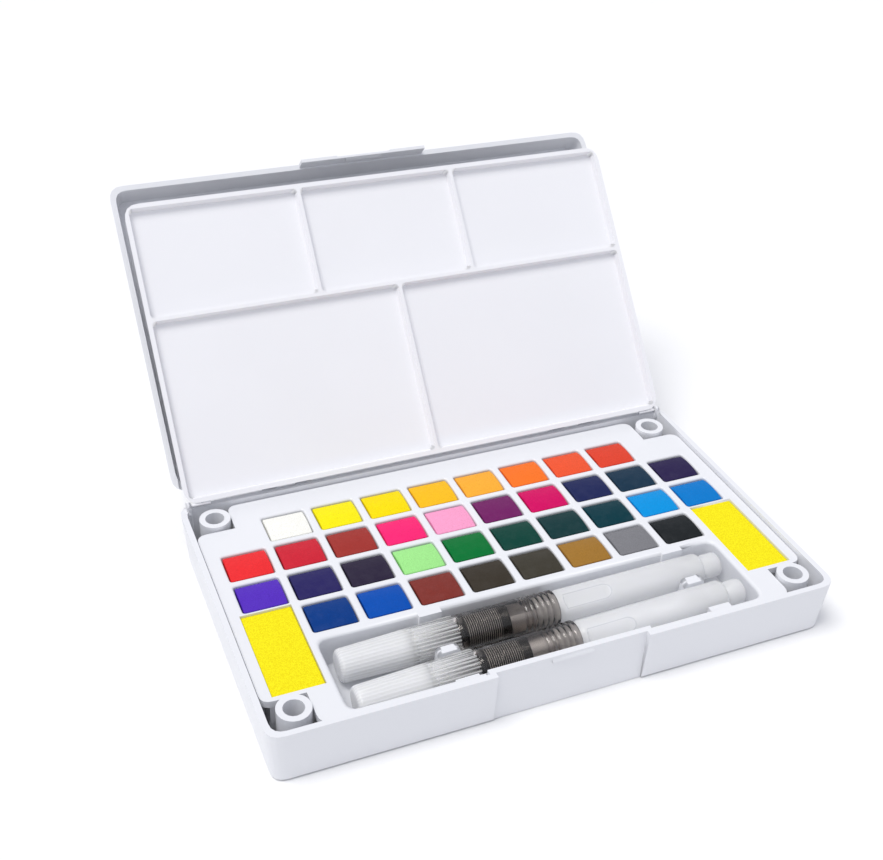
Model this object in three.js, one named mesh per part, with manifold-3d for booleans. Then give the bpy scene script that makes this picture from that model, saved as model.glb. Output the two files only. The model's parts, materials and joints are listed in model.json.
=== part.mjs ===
// Watercolour paint box with an open lid, a leaning mixing palette, a lift-out paint insert,
// two sponges and two capped water brushes. Millimetres, X along the hinge, Y to the rear, Z up.
// The origin is the centre of the underside of the base.

import * as THREE from 'three';
import { mergeVertices } from 'three/addons/utils/BufferGeometryUtils.js';
import Module from 'manifold-3d';

const wasm = await Module();
wasm.setup();

// Box
const boxWidth = 235;
const boxDepth = 138;
const baseHeight = 24;
const wall = 2.4;
const floorThickness = 2;
const cornerRadius = 6.5;
const draft = 1.5;
const footChamfer = 0.8;
const gap = 0.3;
const overrun = 1;

// Corner posts
const postInsetX = 12.83;
const postInsetY = 11.9;
const postRadius = 6.5;
const postBoreRadius = 4;
const postFloor = 2.4;
const postDrop = 0.2;

// Latch at the front
const latchWidth = 63;
const latchDepth = 2.4;
const latchSideGap = 1.2;
const lipThickness = 1.5;
const lipDrop = 6;
const lipNotchWidth = 26;
const lipNotchDepth = 1.2;
const hookWidth = 17.5;
const hookReach = 0.6;
const hookHeight = 1.8;
const hookLift = 0.9;
const ridgeHeight = 1.8;

// Lid
const lidDepth = 12;
const lidPlate = 2;
const lidEdgeChamfer = 1;
const lidOpenAngle = 133.33;

// Lid hinge
const hingeSetback = 4.2;
const hingeInset = 47.5;
const hingeWidth = 22;
const lidKnuckleWidth = 8;
const knuckleRadius = 1.7;
const hingePinRadius = 0.6;

// Palette
const paletteSideGap = 0.4;
const paletteFrontGap = 1.01;
const paletteThickness = 4.2;
const paletteFloor = 1;
const paletteCornerRadius = 7;
const paletteRim = 2;
const paletteDivider = 1.5;
const paletteWellRadius = 2;
const paletteWellSlope = 0.7;
const paletteSplitShare = 0.61;
const paletteUpperSplitShare = 0.1613;
const paletteHeel = 2.6;
const paletteLean = 49.4;

// Palette pivot
const pivotInset = 2.5;
const pivotRise = 1.6;
const pivotBelowEdge = 0.59;
const pivotBehindRim = 1.16;
const pivotRodRadius = 0.65;
const pivotRibWidth = 3.6;
const lugRadius = 1.6;
const lugWidth = 2;
const lugInset = 0.5;
const lugPocketDepth = 3.3;

// Insert tray
const trayDrop = 2;
const traySideGap = 0.6;
const trayFrontGap = 0.6;
const trayRearGap = 1;
const trayLatchGap = 0.4;
const trayNotchWidth = 16.7;
const trayNotchDepth = 16;
const trayCornerRadius = 4.5;
const deckThickness = 1.6;
const deckEdge = 3;
const trayWall = 1.4;
const cupWall = 1.2;

// Paint wells and cakes
const wellWidth = 18.5;
const wellLength = 16.4;
const wellDepth = 7;
const wellRadius = 1.4;
const wellFillet = 0.9;
const wellRib = 3.5;
const wellRowRib = 3;
const wellSideMargin = 6.25;
const wellRearMargin = 12.4;
const wellBayBorder = 3.2;
const cakeSideGap = 0.5;
const cakeEndGap = 0.7;
const cakeRise = 0.2;
const cakeCrown = 0.7;

// Sponges
const spongeWidth = 19.8;
const spongeLength = 44.2;
const spongeSideMargin = 4.7;
const spongeFrontMargin = 1.9;
const spongePocketDepth = 10;
const spongeDrop = 0.5;

// Brush bay
const bayMargin = 3.2;
const bayFrontWall = 0.9;
const bayRadius = 4.5;
const bayFillet = 1.5;
const nubWidth = 9.3;
const nubDrop = 0.1;
const nubFrontReach = 1.6;
const nubCapInset = 6.9;
const nubBayInset = 19.6;
const dividerDrop = 2;
const dividerRadius = 2;

// Water brushes
const brushAxisDrop = 6;
const brushRearMargin = 1.5;
const brushFrontMargin = 1.5;
const brushSpacing = 3.5;
const brushEndGap = 4.6;
const brushTailGap = 2.2;
const rearBrushTurn = 0.75;
const frontBrushTurn = 1.5;
const capLength = 47.6;
const capRadius = 7.7;
const capTipRadius = 6.5;
const capWall = 0.9;
const capTipRound = 1.6;
const gripLength = 42.2;
const gripRadius = 7.45;
const gripWall = 1.5;
const gripNoseLength = 22;
const gripTipRadius = 3.8;
const gripTipLength = 6;
const gripTipBore = 2.3;
const feedLength = 21.2;
const tuftLength = 20;
const tuftPlug = 4;
const tuftBelly = 2.3;
const barrelRadius = 6.75;
const barrelWall = 1.1;
const barrelNeckLength = 10;
const barrelNeckWall = 1.3;
const barrelShoulder = 1.4;
const tailLength = 8.6;
const tailRadius = 5.1;
const tailPlugLength = 5;
const tailRound = 0.8;

const cornerSteps = 4;
const roundSteps = 16;
const postSteps = 24;
const wellMouthSteps = 2;
const bayMouthSteps = 3;
const tinyShare = 0.001;

// Levels and lines that several pieces share
const halfWidth = boxWidth / 2;
const halfDepth = boxDepth / 2;
const lidRimZ = baseHeight + gap;
const hingeY = halfDepth + hingeSetback;
const hingeZ = baseHeight + gap / 2;
const pivotY = halfDepth - pivotInset;
const pivotZ = baseHeight + pivotRise;
const hingeOffset = halfWidth - hingeInset;
const paletteWidth = 2 * (halfWidth - wall - paletteSideGap);
const paletteLength = pivotY - pivotBelowEdge + halfDepth - wall - paletteFrontGap;
const paletteDraft = draft * paletteThickness / (lidDepth - lidPlate);
const deckZ = baseHeight - trayDrop;
const trayFoot = floorThickness + gap;
const traySide = halfWidth - wall - traySideGap;
const trayRear = halfDepth - wall - trayRearGap;
const trayArmY = halfDepth - wall - trayFrontGap - trayNotchDepth;
const latchFaceY = -halfDepth + latchDepth;
const latchInnerY = latchFaceY + wall;
const wellFloorZ = deckZ - wellDepth;
const brushZ = deckZ - brushAxisDrop;
const bayFloorZ = brushZ - capRadius - gap;
const lugOuterX = halfWidth - wall - lugInset;
const lugInnerX = lugOuterX - lugWidth;
const knuckleBore = hingePinRadius + gap;
const lugBore = pivotRodRadius + gap;
const lidKnuckleHalf = lidKnuckleWidth / 2;
const hingeHalf = hingeWidth / 2;

const spongeX = traySide - spongeSideMargin - spongeWidth / 2;
const spongeY = -trayArmY + spongeFrontMargin + gap + spongeLength / 2;

const bayHalf = spongeX - spongeWidth / 2 - gap - bayMargin;
const bayFrontY = latchInnerY + trayLatchGap + bayFrontWall;
const bayRearY = bayFrontY + brushFrontMargin + 4 * capRadius + brushSpacing + brushRearMargin;

// Each brush lies a little turned in the bay
const brushRearY = bayRearY - brushRearMargin - capRadius;
const brushFrontY = bayFrontY + brushFrontMargin + capRadius;
const brushStart = -bayHalf + brushEndGap;
const gripStart = brushStart + capLength + gap;
const barrelStart = gripStart + gripLength + gap;
const barrelEnd = bayHalf - brushTailGap - tailLength - gap;
const gripNoseRadius = capTipRadius - capWall - gap;
const tuftRadius = gripTipBore - gap;
const capNubX = brushStart + capLength - nubCapInset;
const barrelNubX = bayHalf - nubBayInset;

const white = 0xf2f3f6;

function toSolid(geometry) {
  const bare = geometry.clone();
  bare.deleteAttribute('normal');
  bare.deleteAttribute('uv');
  const merged = mergeVertices(bare);
  const index = Array.from(merged.index.array);
  const triVerts = [];
  for (let i = 0; i < index.length; i += 3) {
    const [a, b, c] = index.slice(i, i + 3);
    if (a !== b && b !== c && c !== a) {
      triVerts.push(a, b, c);
    }
  }
  const vertProperties = new Float32Array(merged.attributes.position.array);
  if (signedVolume(vertProperties, triVerts) < 0) {
    triVerts.reverse();
  }
  const mesh = new wasm.Mesh({ numProp: 3, vertProperties, triVerts: new Uint32Array(triVerts) });
  return new wasm.Manifold(mesh);
}

function signedVolume(positions, triangles) {
  const a = new THREE.Vector3();
  const b = new THREE.Vector3();
  const c = new THREE.Vector3();
  let total = 0;
  for (let i = 0; i < triangles.length; i += 3) {
    a.fromArray(positions, 3 * triangles[i]);
    b.fromArray(positions, 3 * triangles[i + 1]);
    c.fromArray(positions, 3 * triangles[i + 2]);
    total += a.dot(b.cross(c));
  }
  return total;
}

function toMesh(name, solid, color, roughness = 0.45) {
  const result = solid.getMesh();
  const geometry = new THREE.BufferGeometry();
  const positions = new THREE.BufferAttribute(new Float32Array(result.vertProperties), 3);
  geometry.setAttribute('position', positions);
  geometry.setIndex(new THREE.BufferAttribute(new Uint32Array(result.triVerts), 1));
  geometry.computeVertexNormals();
  const material = new THREE.MeshStandardMaterial({ color, roughness, metalness: 0 });
  const mesh = new THREE.Mesh(geometry, material);
  mesh.name = name;
  return mesh;
}

// Axis-aligned block between two corners
function block(x0, x1, y0, y1, z0, z1) {
  const geometry = new THREE.BoxGeometry(x1 - x0, y1 - y0, z1 - z0);
  geometry.translate((x0 + x1) / 2, (y0 + y1) / 2, (z0 + z1) / 2);
  return toSolid(geometry);
}

// Closed polygon whose corners [x, y, radius] are rounded
function roundedShape(corners) {
  const shape = new THREE.Shape();
  const count = corners.length;
  corners.forEach(([x, y, radius], i) => {
    const corner = new THREE.Vector2(x, y);
    const before = new THREE.Vector2(...corners[(i + count - 1) % count]);
    const after = new THREE.Vector2(...corners[(i + 1) % count]);
    const start = before.sub(corner).setLength(radius).add(corner);
    const end = after.sub(corner).setLength(radius).add(corner);
    if (i === 0) {
      shape.moveTo(start.x, start.y);
    } else {
      shape.lineTo(start.x, start.y);
    }
    if (radius > 0) {
      shape.quadraticCurveTo(x, y, end.x, end.y);
    }
  });
  shape.closePath();
  return shape;
}

function rectangleShape(x0, x1, y0, y1, radius) {
  return roundedShape([[x0, y0, radius], [x1, y0, radius], [x1, y1, radius], [x0, y1, radius]]);
}

function upright(shape, z0, z1) {
  const depth = z1 - z0;
  const options = { depth, bevelEnabled: false, curveSegments: cornerSteps };
  const geometry = new THREE.ExtrudeGeometry(shape, options);
  geometry.translate(0, 0, z0);
  return toSolid(geometry);
}

// Profile of [y, z] points drawn out along X, then moved to a place
function alongX(points, x0, x1, place = new THREE.Matrix4()) {
  const shape = new THREE.Shape(points.map(([y, z]) => new THREE.Vector2(y, z)));
  const geometry = new THREE.ExtrudeGeometry(shape, { depth: x1 - x0, bevelEnabled: false });
  const axes = new THREE.Matrix4().makeBasis(
    new THREE.Vector3(0, 1, 0),
    new THREE.Vector3(0, 0, 1),
    new THREE.Vector3(1, 0, 0),
  );
  geometry.applyMatrix4(axes);
  geometry.translate(x0, 0, 0);
  geometry.applyMatrix4(place);
  return toSolid(geometry);
}

// Outline of x and z drawn out along Y
function alongY(shape, y0, y1) {
  const options = { depth: y1 - y0, bevelEnabled: false, curveSegments: cornerSteps };
  const geometry = new THREE.ExtrudeGeometry(shape, options);
  geometry.rotateX(Math.PI / 2);
  geometry.translate(0, y1, 0);
  return toSolid(geometry);
}

function rodX(radius, x0, x1, y, z) {
  const geometry = new THREE.CylinderGeometry(radius, radius, x1 - x0, roundSteps);
  geometry.rotateZ(Math.PI / 2);
  geometry.translate((x0 + x1) / 2, y, z);
  return toSolid(geometry);
}

function rodZ(radius, x, y, z0, z1, steps) {
  const geometry = new THREE.CylinderGeometry(radius, radius, z1 - z0, steps);
  geometry.rotateX(Math.PI / 2);
  geometry.translate(x, y, (z0 + z1) / 2);
  return toSolid(geometry);
}

// Body of revolution about X through points [x, radius]
function turned(points) {
  const profile = points.map(([x, radius]) => new THREE.Vector2(radius, x));
  const geometry = new THREE.LatheGeometry(profile, roundSteps);
  geometry.rotateZ(-Math.PI / 2);
  return toSolid(geometry);
}

function ring(shape, z) {
  const points = shape.getPoints(cornerSteps);
  points.pop();
  return points.map((p) => new THREE.Vector3(p.x, p.y, z));
}

// Solid through rings of equally many points, from the lowest up
function ringSolid(rings) {
  const count = rings[0].length;
  const index = [];
  for (let level = 0; level + 1 < rings.length; level += 1) {
    for (let i = 0; i < count; i += 1) {
      const a = level * count + i;
      const b = level * count + ((i + 1) % count);
      index.push(a, b, b + count, a, b + count, a + count);
    }
  }
  const top = (rings.length - 1) * count;
  for (let i = 1; i + 1 < count; i += 1) {
    index.push(0, i + 1, i);
    index.push(top, top + i, top + i + 1);
  }
  const geometry = new THREE.BufferGeometry().setFromPoints(rings.flat());
  geometry.setIndex(index);
  return toSolid(geometry);
}

// Rounded rectangle inset from the box outline at each level
function loft(levels) {
  return ringSolid(levels.map(({ inset, z }) => {
    const x = halfWidth - inset;
    const y = halfDepth - inset;
    return ring(rectangleShape(-x, x, -y, y, cornerRadius - inset / 2), z);
  }));
}

// Rounded rectangle that grows or shrinks on every side with the level
function flared([x0, x1, y0, y1], radius, levels) {
  return ringSolid(levels.map(({ grow, z }) => {
    const shape = rectangleShape(x0 - grow, x1 + grow, y0 - grow, y1 + grow, radius + grow / 2);
    return ring(shape, z);
  }));
}

// Levels of a pocket cut from the deck down to a floor, with its mouth rounded over
function mouthLevels(floor, fillet, steps) {
  const levels = [{ grow: 0, z: floor }];
  for (let i = 0; i <= steps; i += 1) {
    const angle = Math.PI / 2 * i / steps;
    levels.push({ grow: fillet * (1 - Math.cos(angle)), z: deckZ - fillet + fillet * Math.sin(angle) });
  }
  levels.push({ grow: fillet, z: deckZ + overrun });
  return levels;
}

function union(first, ...others) {
  return others.reduce((sum, solid) => sum.add(solid), first);
}

function cut(first, ...others) {
  return others.reduce((rest, solid) => rest.subtract(solid), first);
}

// Base

function postSolids() {
  const x = halfWidth - postInsetX;
  const y = halfDepth - postInsetY;
  const places = [[-x, -y], [x, -y], [x, y], [-x, y]];
  const top = baseHeight - postDrop;
  const bodies = places.map(([px, py]) => rodZ(postRadius, px, py, floorThickness / 2, top, postSteps));
  const boreFloor = floorThickness + postFloor;
  const bores = places.map(([px, py]) => rodZ(postBoreRadius, px, py, boreFloor, baseHeight, roundSteps));
  return { bodies, bores };
}

// Knuckle round the hinge axis with an arm to the wall, below the axis (side -1) or above it (side 1)
function knuckle(x0, x1, side) {
  const barrel = rodX(knuckleRadius, x0, x1, hingeY, hingeZ);
  const armEnd = hingeZ + side * knuckleRadius;
  const low = Math.min(hingeZ, armEnd);
  const high = Math.max(hingeZ, armEnd);
  const root = side < 0 ? halfDepth - draft : halfDepth - wall / 2;
  return union(barrel, block(x0, x1, root, hingeY, low, high));
}

function baseKnuckles() {
  const inner = lidKnuckleHalf + gap;
  return [-hingeOffset, hingeOffset].flatMap((x) => [
    knuckle(x - hingeHalf, x - inner, -1),
    knuckle(x + inner, x + hingeHalf, -1),
  ]);
}

function hingeBores() {
  const reach = hingeHalf + overrun;
  return [-hingeOffset, hingeOffset].map((x) => rodX(knuckleBore, x - reach, x + reach, hingeY, hingeZ));
}

function pivotLugs() {
  const low = baseHeight - wall;
  return [[-lugOuterX, -lugInnerX], [lugInnerX, lugOuterX]].map(([x0, x1]) => union(
    rodX(lugRadius, x0, x1, pivotY, pivotZ),
    block(x0, x1, pivotY - lugRadius, pivotY + lugRadius, low, pivotZ),
  ));
}

function catchRidge() {
  const top = lidRimZ - lipDrop + hookLift + hookHeight + gap + ridgeHeight;
  const face = latchFaceY + gap;
  const crest = latchFaceY - hookReach;
  const points = [
    [face, top - ridgeHeight],
    [crest, top - ridgeHeight],
    [crest, top - ridgeHeight / 2],
    [latchFaceY, top],
    [face, top],
  ];
  return alongX(points, -hookWidth / 2, hookWidth / 2);
}

function makeBase() {
  const outer = loft([
    { inset: draft + footChamfer, z: 0 },
    { inset: draft, z: footChamfer },
    { inset: 0, z: baseHeight },
  ]);
  const latchHalf = latchWidth / 2;
  const front = -halfDepth - overrun;
  const recess = block(-latchHalf, latchHalf, front, latchFaceY, -overrun, baseHeight + overrun);
  const backing = block(-latchHalf - wall, latchHalf + wall, front, latchInnerY, 0, baseHeight + 2 * overrun);
  const cavity = loft([
    { inset: wall + draft, z: floorThickness },
    { inset: wall, z: baseHeight },
    { inset: wall, z: baseHeight + overrun },
  ]);
  const shell = cut(outer, recess, cut(cavity, backing));
  const { bodies, bores } = postSolids();
  const full = union(shell, ...bodies, ...baseKnuckles(), ...pivotLugs(), catchRidge());
  const lugBores = [-1, 1].map((side) => {
    const x = side * halfWidth;
    return rodX(lugBore, Math.min(0, x), Math.max(0, x), pivotY, pivotZ);
  });
  return cut(full, ...bores, ...hingeBores(), ...lugBores);
}

// Lid, drawn closed on the base

function latchLip() {
  const half = latchWidth / 2 - latchSideGap;
  const low = lidRimZ - lipDrop;
  const high = lidRimZ + wall / 2;
  const inner = -halfDepth + lipThickness;
  const lip = block(-half, half, -halfDepth, inner, low, high);
  const notchHalf = lipNotchWidth / 2;
  const front = -halfDepth - overrun;
  const notchInner = inner - lipThickness / 2;
  const notch = block(-notchHalf, notchHalf, front, notchInner, low - overrun, low + lipNotchDepth);
  const hookLow = low + hookLift;
  const points = [
    [notchInner, hookLow],
    [inner, hookLow],
    [inner + hookReach, hookLow + hookHeight / 2],
    [inner + hookReach, hookLow + hookHeight],
    [notchInner, hookLow + hookHeight],
  ];
  return union(cut(lip, notch), alongX(points, -hookWidth / 2, hookWidth / 2));
}

// Pockets in the rear wall of the lid for the palette's pivot lugs and rods
function lugPockets() {
  const near = paletteWidth / 2 - paletteCornerRadius - pivotRibWidth - gap;
  const far = lugOuterX + gap;
  const y0 = pivotY - lugRadius - overrun;
  const y1 = halfDepth + overrun;
  const top = lidRimZ + lugPocketDepth;
  return [
    block(-far, -near, y0, y1, lidRimZ - overrun, top),
    block(near, far, y0, y1, lidRimZ - overrun, top),
  ];
}

function makeLid() {
  const top = lidRimZ + lidDepth;
  const outer = loft([
    { inset: 0, z: lidRimZ },
    { inset: draft, z: top - lidEdgeChamfer },
    { inset: draft + lidEdgeChamfer, z: top },
  ]);
  const cavity = loft([
    { inset: wall, z: lidRimZ - overrun },
    { inset: wall, z: lidRimZ },
    { inset: wall + draft, z: top - lidPlate },
  ]);
  const knuckles = [-hingeOffset, hingeOffset].map((x) => knuckle(x - lidKnuckleHalf, x + lidKnuckleHalf, 1));
  const shell = cut(outer, cavity, ...lugPockets());
  return cut(union(shell, latchLip(), ...knuckles), ...hingeBores());
}

// Palette, drawn flat about its pivot: y from the hinge edge to the far edge, z towards the wells

function paletteWells() {
  const x = paletteWidth / 2 - paletteRim;
  const y0 = pivotBelowEdge + paletteRim;
  const y1 = pivotBelowEdge + paletteLength - paletteRim;
  const split = pivotBelowEdge + paletteSplitShare * paletteLength;
  const upperSplit = paletteUpperSplitShare * paletteWidth;
  const half = paletteDivider / 2;
  const floor = pivotBehindRim - paletteThickness + paletteFloor;
  const spans = [
    [-x, -half, y0, split - half],
    [half, x, y0, split - half],
    [-x, -upperSplit - half, split + half, y1],
    [-upperSplit + half, upperSplit - half, split + half, y1],
    [upperSplit + half, x, split + half, y1],
  ];
  const levels = [
    { grow: -paletteWellSlope, z: floor },
    { grow: 0, z: pivotBehindRim },
    { grow: 0, z: pivotBehindRim + overrun },
  ];
  return spans.map((span) => flared(span, paletteWellRadius, levels));
}

function paletteRods() {
  const straightEnd = paletteWidth / 2 - paletteCornerRadius;
  const ribStart = straightEnd - pivotRibWidth;
  const ribTop = pivotBelowEdge + paletteRim / 2;
  return [-1, 1].map((side) => {
    const [x0, x1] = side < 0 ? [-lugOuterX, -ribStart] : [ribStart, lugOuterX];
    const [r0, r1] = side < 0 ? [-straightEnd, -ribStart] : [ribStart, straightEnd];
    return union(
      rodX(pivotRodRadius, x0, x1, 0, 0),
      block(r0, r1, 0, ribTop, -pivotRodRadius / 2, pivotRodRadius),
    );
  });
}

function makePalette() {
  const x = paletteWidth / 2;
  const back = pivotBehindRim - paletteThickness;
  const y0 = pivotBelowEdge;
  const slab = flared([-x, x, y0, y0 + paletteLength], paletteCornerRadius, [
    { grow: -paletteDraft, z: back },
    { grow: 0, z: pivotBehindRim },
  ]);
  const heel = alongX([
    [y0 - overrun, back + paletteHeel + overrun],
    [y0 - overrun, back - overrun],
    [y0 + paletteHeel + overrun, back - overrun],
  ], -halfWidth, halfWidth);
  return union(cut(slab, heel, ...paletteWells()), ...paletteRods());
}

// Insert tray

function trayShape(inset, radius) {
  const side = traySide - inset;
  const rear = trayRear - inset;
  const front = -halfDepth + wall + trayFrontGap + inset;
  const armX = side - trayNotchWidth;
  const armY = trayArmY - inset;
  const latchX = latchWidth / 2 + wall + trayLatchGap + inset;
  const latchY = latchInnerY + trayLatchGap + inset;
  return roundedShape([
    [-armX, front, radius],
    [-latchX, front, 0],
    [-latchX, latchY, 0],
    [latchX, latchY, 0],
    [latchX, front, 0],
    [armX, front, radius],
    [armX, -armY, 0],
    [side, -armY, radius],
    [side, armY, radius],
    [armX, armY, 0],
    [armX, rear, radius],
    [-armX, rear, radius],
    [-armX, armY, 0],
    [-side, armY, radius],
    [-side, -armY, radius],
    [-armX, -armY, 0],
  ]);
}

const outerColumnX = traySide - wellSideMargin - wellWidth / 2;
const columnCount = Math.floor(2 * outerColumnX / (wellWidth + wellRib) + tinyShare) + 1;
const wellPitchX = 2 * outerColumnX / (columnCount - 1);
const wellPitchY = wellLength + wellRowRib;
const firstRowY = trayRear - wellRearMargin - wellLength / 2;
const lastRowY = bayRearY + wellBayBorder + wellLength / 2;
const rowCount = Math.floor((firstRowY - lastRowY) / wellPitchY + tinyShare) + 1;
const rows = Array.from({ length: rowCount }, (_, row) => row);

function rowY(row) {
  return firstRowY - row * wellPitchY;
}

// First and last column of a row: the outermost wells leave room for the corner posts and the sponges
function rowColumns(row) {
  const reach = wellLength / 2 + cupWall;
  const clearOfPosts = rowY(row) + reach < trayArmY;
  const clearOfSponges = rowY(row) - reach > spongeY + spongeLength / 2 + gap;
  return clearOfPosts && clearOfSponges ? [0, columnCount - 1] : [1, columnCount - 2];
}

function wellCentre(row, column) {
  const x = (column - (columnCount - 1) / 2) * wellPitchX;
  return [x, rowY(row)];
}

function eachWell(visit) {
  return rows.flatMap((row) => {
    const [first, last] = rowColumns(row);
    const results = [];
    for (let column = first; column <= last; column += 1) {
      results.push(visit(row, column, ...wellCentre(row, column)));
    }
    return results;
  });
}

function rowBlocks() {
  const low = wellFloorZ - cupWall;
  return rows.map((row) => {
    const [first, last] = rowColumns(row);
    const [x0, y] = wellCentre(row, first);
    const [x1] = wellCentre(row, last);
    const reach = wellWidth / 2 + cupWall;
    const half = row + 1 < rowCount ? wellPitchY - wellLength / 2 : wellLength / 2 + cupWall;
    return block(x0 - reach, x1 + reach, y - half, y + wellLength / 2 + cupWall, low, deckZ);
  });
}

function spongePocket(side, margin) {
  const x = spongeWidth / 2 + gap + margin;
  const y = spongeLength / 2 + gap + margin;
  const centre = side * spongeX;
  return [centre - x, centre + x, spongeY - y, spongeY + y];
}

function brushPlace(y, turn) {
  return new THREE.Matrix4().makeRotationZ(THREE.MathUtils.degToRad(turn)).setPosition(0, y, brushZ);
}

// Room that a brush needs to lie in and to be lifted straight up
function brushSlot(y, turn) {
  const spans = [
    [capRadius + gap, brushStart, gripStart],
    [barrelRadius + gap, barrelStart, barrelEnd],
  ];
  return union(...spans.map(([radius, x0, x1]) => {
    const points = [[radius, capRadius + overrun], [-radius, capRadius + overrun]];
    for (let i = 0; i <= roundSteps; i += 1) {
      const angle = Math.PI * (1 + i / roundSteps);
      points.push([radius * Math.cos(angle), radius * Math.sin(angle)]);
    }
    return alongX(points, x0, x1, brushPlace(y, turn));
  }));
}

// Tabs on the walls of the bay and between the brushes
function bayTabs() {
  const low = bayFloorZ - cupWall / 2;
  const high = deckZ - nubDrop;
  const half = nubWidth / 2;
  const front = bayFrontY - bayFillet;
  const rear = bayRearY + bayFillet;
  const tabs = [capNubX, barrelNubX].flatMap((x) => {
    const tongue = roundedShape([
      [x - half, low, 0],
      [x + half, low, 0],
      [x + half, deckZ - dividerDrop, dividerRadius],
      [x - half, deckZ - dividerDrop, dividerRadius],
    ]);
    return [
      block(x - half, x + half, front, bayFrontY + nubFrontReach, low, high),
      alongY(tongue, brushFrontY, brushRearY),
      block(x - half, x + half, brushRearY, rear, low, high),
    ];
  });
  const slots = [brushSlot(brushRearY, rearBrushTurn), brushSlot(brushFrontY, frontBrushTurn)];
  return tabs.map((tab) => cut(tab, ...slots));
}

function makeTray() {
  const deck = upright(trayShape(0, trayCornerRadius), deckZ - deckEdge, deckZ);
  const skirt = upright(trayShape(draft, trayCornerRadius - draft), trayFoot, deckZ);
  const inside = upright(
    trayShape(draft + trayWall, trayCornerRadius - draft - trayWall),
    trayFoot - overrun,
    deckZ - deckThickness,
  );
  const bayLow = bayFloorZ - cupWall;
  const bayBlock = block(
    -bayHalf - cupWall,
    bayHalf + cupWall,
    bayFrontY - bayFrontWall,
    bayRearY + cupWall,
    bayLow,
    deckZ,
  );
  const pocketFloor = deckZ - spongePocketDepth;
  const pocketBlocks = [-1, 1].map((side) => (
    block(...spongePocket(side, cupWall), pocketFloor - cupWall, deckZ)
  ));
  const body = union(cut(union(deck, skirt), inside), ...rowBlocks(), bayBlock, ...pocketBlocks);
  const wellLevels = mouthLevels(wellFloorZ, wellFillet, wellMouthSteps);
  const wells = eachWell((row, column, x, y) => {
    const w = wellWidth / 2;
    const l = wellLength / 2;
    return flared([x - w, x + w, y - l, y + l], wellRadius, wellLevels);
  });
  const pockets = [-1, 1].map((side) => (
    block(...spongePocket(side, 0), pocketFloor, deckZ + overrun)
  ));
  const bayLevels = mouthLevels(bayFloorZ, bayFillet, bayMouthSteps);
  const bay = flared([-bayHalf, bayHalf, bayFrontY, bayRearY], bayRadius, bayLevels);
  return union(cut(body, ...wells, ...pockets, bay), ...bayTabs());
}

// Paint cakes, arched from front to rear

const cakeColors = [
  [0xfefdf5, 0xfef01d, 0xfee30f, 0xfec327, 0xfeb33d, 0xfe7a2f, 0xf25c39, 0xe24a35],
  [0xf2363a, 0xd12e3d, 0xa53c37, 0xfe2f79, 0xfea5cd, 0x762966, 0xd61765, 0x282f5a, 0x223a4e, 0x322a50],
  [0x5b35bf, 0x312d63, 0x342d41, 0xa5ec90, 0x02773a, 0x18473d, 0x1d3d3f, 0x153d47, 0x0297e1, 0x027dcd],
  [0x113f87, 0x0553b3, 0x843a34, 0x413b33, 0x454239, 0xa47836, 0x828286, 0x282b2d],
];
const crownSteps = 6;

function cakeSolid(x, y) {
  const half = wellLength / 2 - cakeEndGap;
  const low = wellFloorZ + gap;
  const crest = deckZ + cakeRise;
  const points = [[y - half, low], [y + half, low]];
  for (let i = 0; i <= crownSteps; i += 1) {
    const share = 1 - 2 * i / crownSteps;
    points.push([y + share * half, crest - cakeCrown * share * share]);
  }
  const reach = wellWidth / 2 - cakeSideGap;
  return alongX(points, x - reach, x + reach);
}

function makeCakes() {
  return eachWell((row, column, x, y) => {
    const colors = cakeColors[row % cakeColors.length];
    const color = colors[(column - rowColumns(row)[0]) % colors.length];
    return toMesh(`cake_${row + 1}_${column}`, cakeSolid(x, y), color, 0.6);
  });
}

function makeSponge(name, side) {
  const low = deckZ - spongePocketDepth + gap;
  const solid = block(...spongePocket(side, -gap), low, deckZ - spongeDrop);
  return toMesh(name, solid, 0xfdee2e, 0.9);
}

// Water brush on the X axis, cap to the left

function capSolid() {
  const start = brushStart;
  const end = start + capLength;
  const inside = start + capWall;
  return turned([
    [start, 0],
    [start, capTipRadius - capTipRound],
    [start + capTipRound / 2, capTipRadius - capTipRound / 4],
    [start + capTipRound, capTipRadius],
    [end, capRadius],
    [end, capRadius - capWall],
    [inside + capTipRound, capTipRadius - capWall],
    [inside + capTipRound / 2, capTipRadius - capTipRound],
    [inside + capTipRound / 2, 0],
  ]);
}

function gripSolid() {
  const start = gripStart;
  const end = start + gripLength;
  const noseStart = start - gripNoseLength;
  const tipEnd = noseStart + gripTipLength;
  const bore = gripRadius - gripWall;
  return turned([
    [noseStart, gripTipRadius],
    [tipEnd, gripNoseRadius],
    [start, gripNoseRadius],
    [start, gripRadius],
    [end, gripRadius],
    [end, bore],
    [start + gripWall, bore],
    [start, gripNoseRadius - gripWall],
    [tipEnd, gripNoseRadius - gripWall],
    [tipEnd - gripWall, gripTipBore],
    [noseStart, gripTipBore],
    [noseStart, gripTipRadius],
  ]);
}

function feedSolid() {
  const start = gripStart;
  const tipEnd = start - gripNoseLength + gripTipLength;
  const noseRadius = gripNoseRadius - gripWall - gap;
  const bodyRadius = gripRadius - gripWall - gap;
  return turned([
    [tipEnd + gap, 0],
    [tipEnd + gap, noseRadius],
    [start + gripWall + gap, noseRadius],
    [start + 2 * gripWall, bodyRadius],
    [start + feedLength, bodyRadius],
    [start + feedLength, 0],
  ]);
}

function tuftSolid() {
  const root = gripStart - gripNoseLength;
  const tip = root - tuftLength;
  return turned([
    [tip, 0],
    [root - tuftLength / 2, tuftRadius],
    [root - tuftPlug, tuftBelly],
    [root - gap, tuftRadius],
    [root + tuftPlug, tuftRadius],
    [root + tuftPlug, 0],
  ]);
}

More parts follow.
